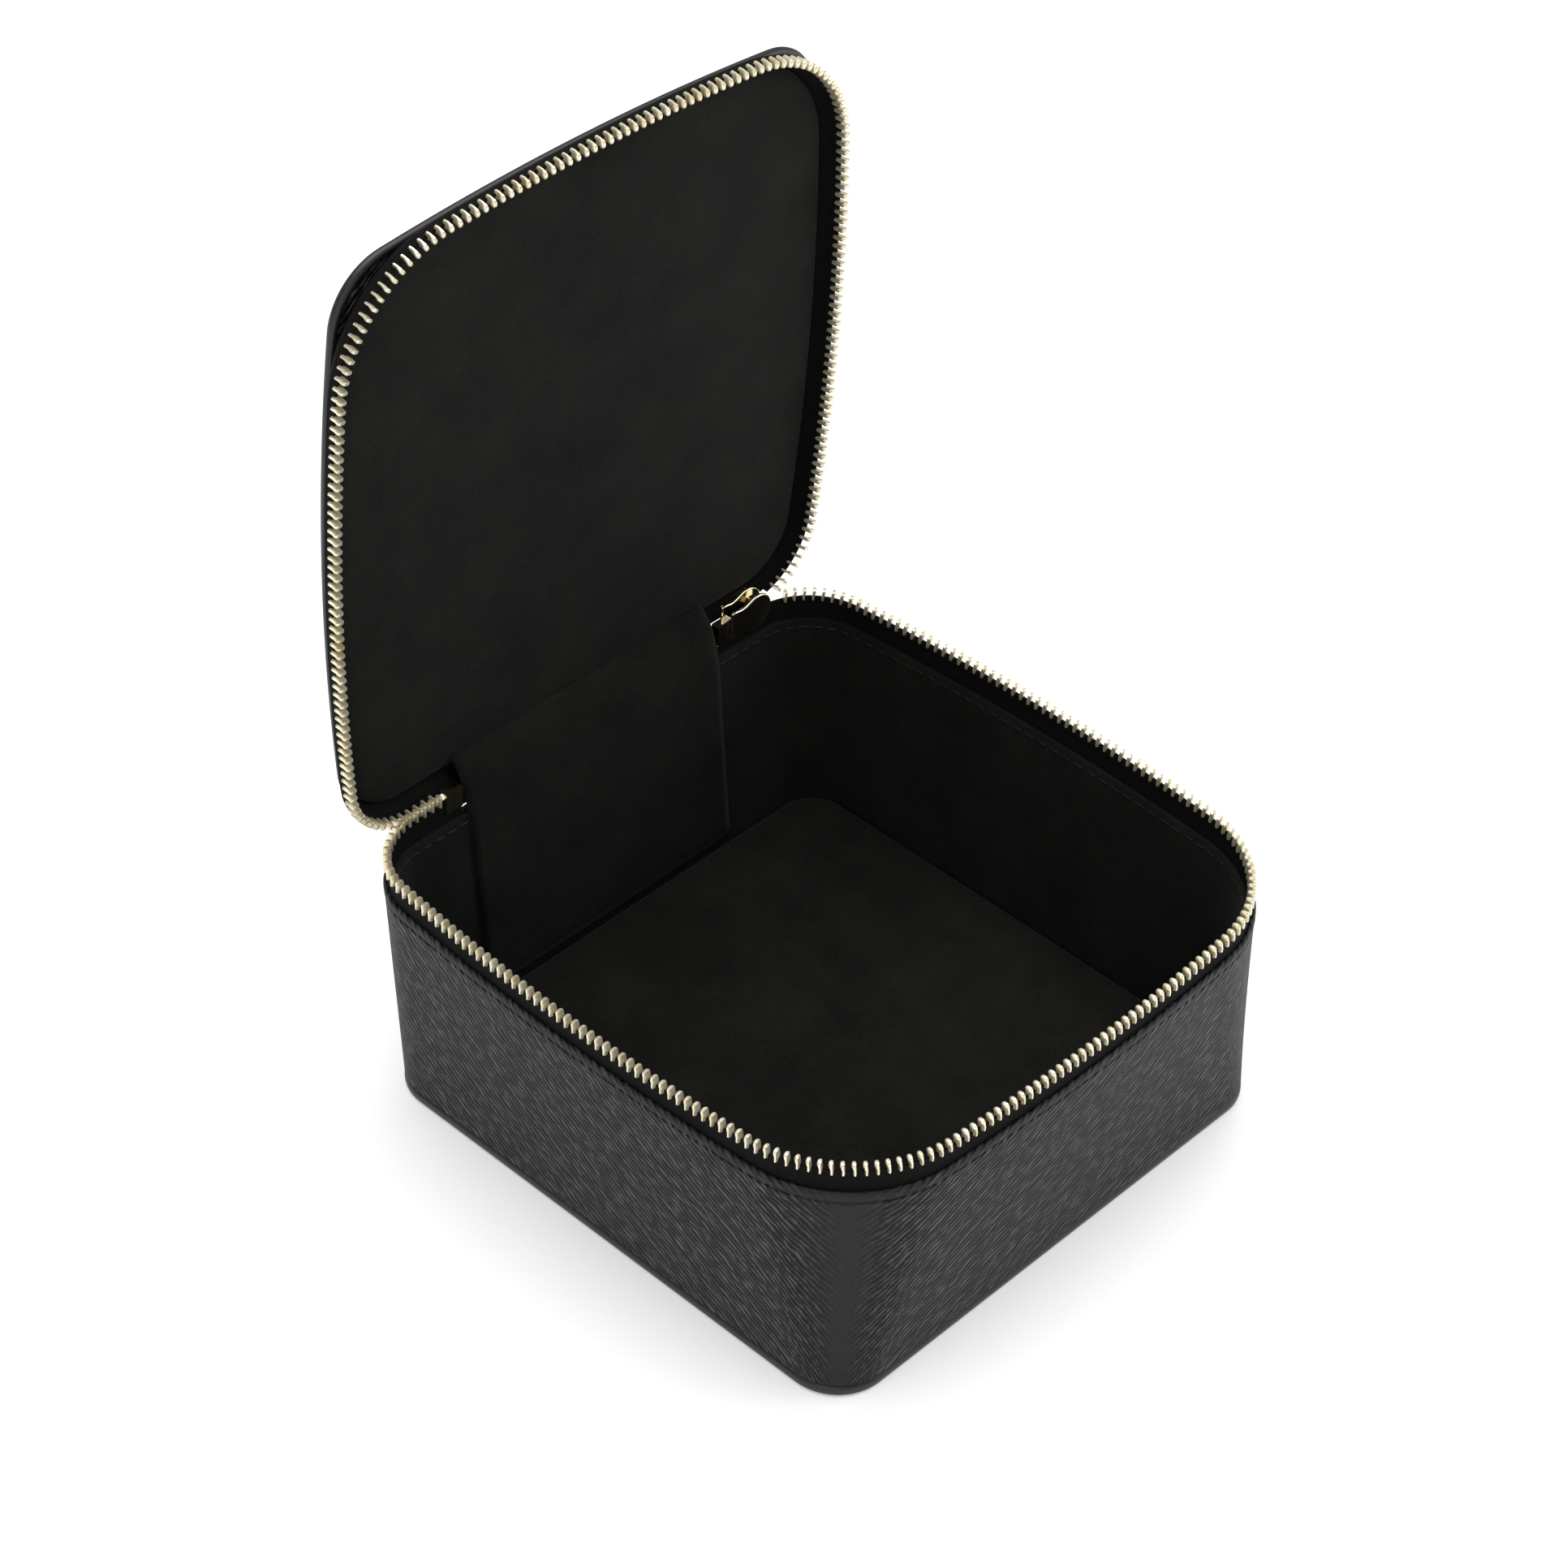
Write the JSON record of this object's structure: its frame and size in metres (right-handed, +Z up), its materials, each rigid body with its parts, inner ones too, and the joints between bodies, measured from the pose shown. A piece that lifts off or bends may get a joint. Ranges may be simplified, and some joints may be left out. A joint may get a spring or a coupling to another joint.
{
  "type": "leather jewellery case",
  "caption": "Square zip-around jewellery case of black leather with rounded corners, suede lining, gold metal zip and a hinged lid.",
  "frame": {"origin": "middle of the underside of the base, on the surface it stands on", "axes": "+Z up, +X along the hinge, +Y towards the hinge at the back"},
  "size_m": [0.1522, 0.1626, 0.2195],
  "materials": {
    "grain_leather": "cross-grain, satin",
    "smooth_leather": "smooth, satin",
    "suede": "short-nap suede",
    "zip_tape": "herringbone weave",
    "gold": "polished pale gold",
    "board": "pressed fibre board, hidden"
  },
  "bodies": {
    "base": {"bottom_cover": "smooth_leather", "bottom_board": "board", "floor_pad": "suede", "wall_leather": "grain_leather", "wall_lining": "suede", "wall_board_front": "board", "wall_board_back": "board", "wall_board_left": "board", "wall_board_right": "board", "hinge_flap": "suede", "base_zip_tape": "zip_tape", "base_zip_teeth": "gold", "zip_stop_left": "gold", "zip_stop_right": "gold", "hinge_leather": "smooth_leather", "hinge_fold": "suede"},
    "lid": {"lid_cover": "grain_leather", "lid_board": "board", "lid_lining": "suede", "lid_zip_tape": "zip_tape", "lid_zip_teeth": "gold"},
    "slider": {"slider_plate_inner": "gold", "slider_plate_outer": "gold", "slider_post": "gold", "slider_bail": "gold"},
    "pull": {"zip_pull": "gold"}
  },
  "joints": [
    {"name": "lid_hinge", "type": "hinge", "parent": "base", "child": "lid", "pos_m": [0, 0.0766, 0.0654], "axis": [1, 0, 0], "range_deg": [-12, 88], "deforming": ["hinge_leather", "hinge_fold"]},
    {"name": "slider_slide", "type": "slide", "parent": "base", "child": "slider", "axis": [1, 0, 0], "range_m": [0, 0.0012]},
    {"name": "pull_swing", "type": "hinge", "parent": "slider", "child": "pull", "pos_m": [0.0507, 0.07965, 0.0654], "axis": [0, 1, 0], "range_deg": [-18, 18]}
  ]
}
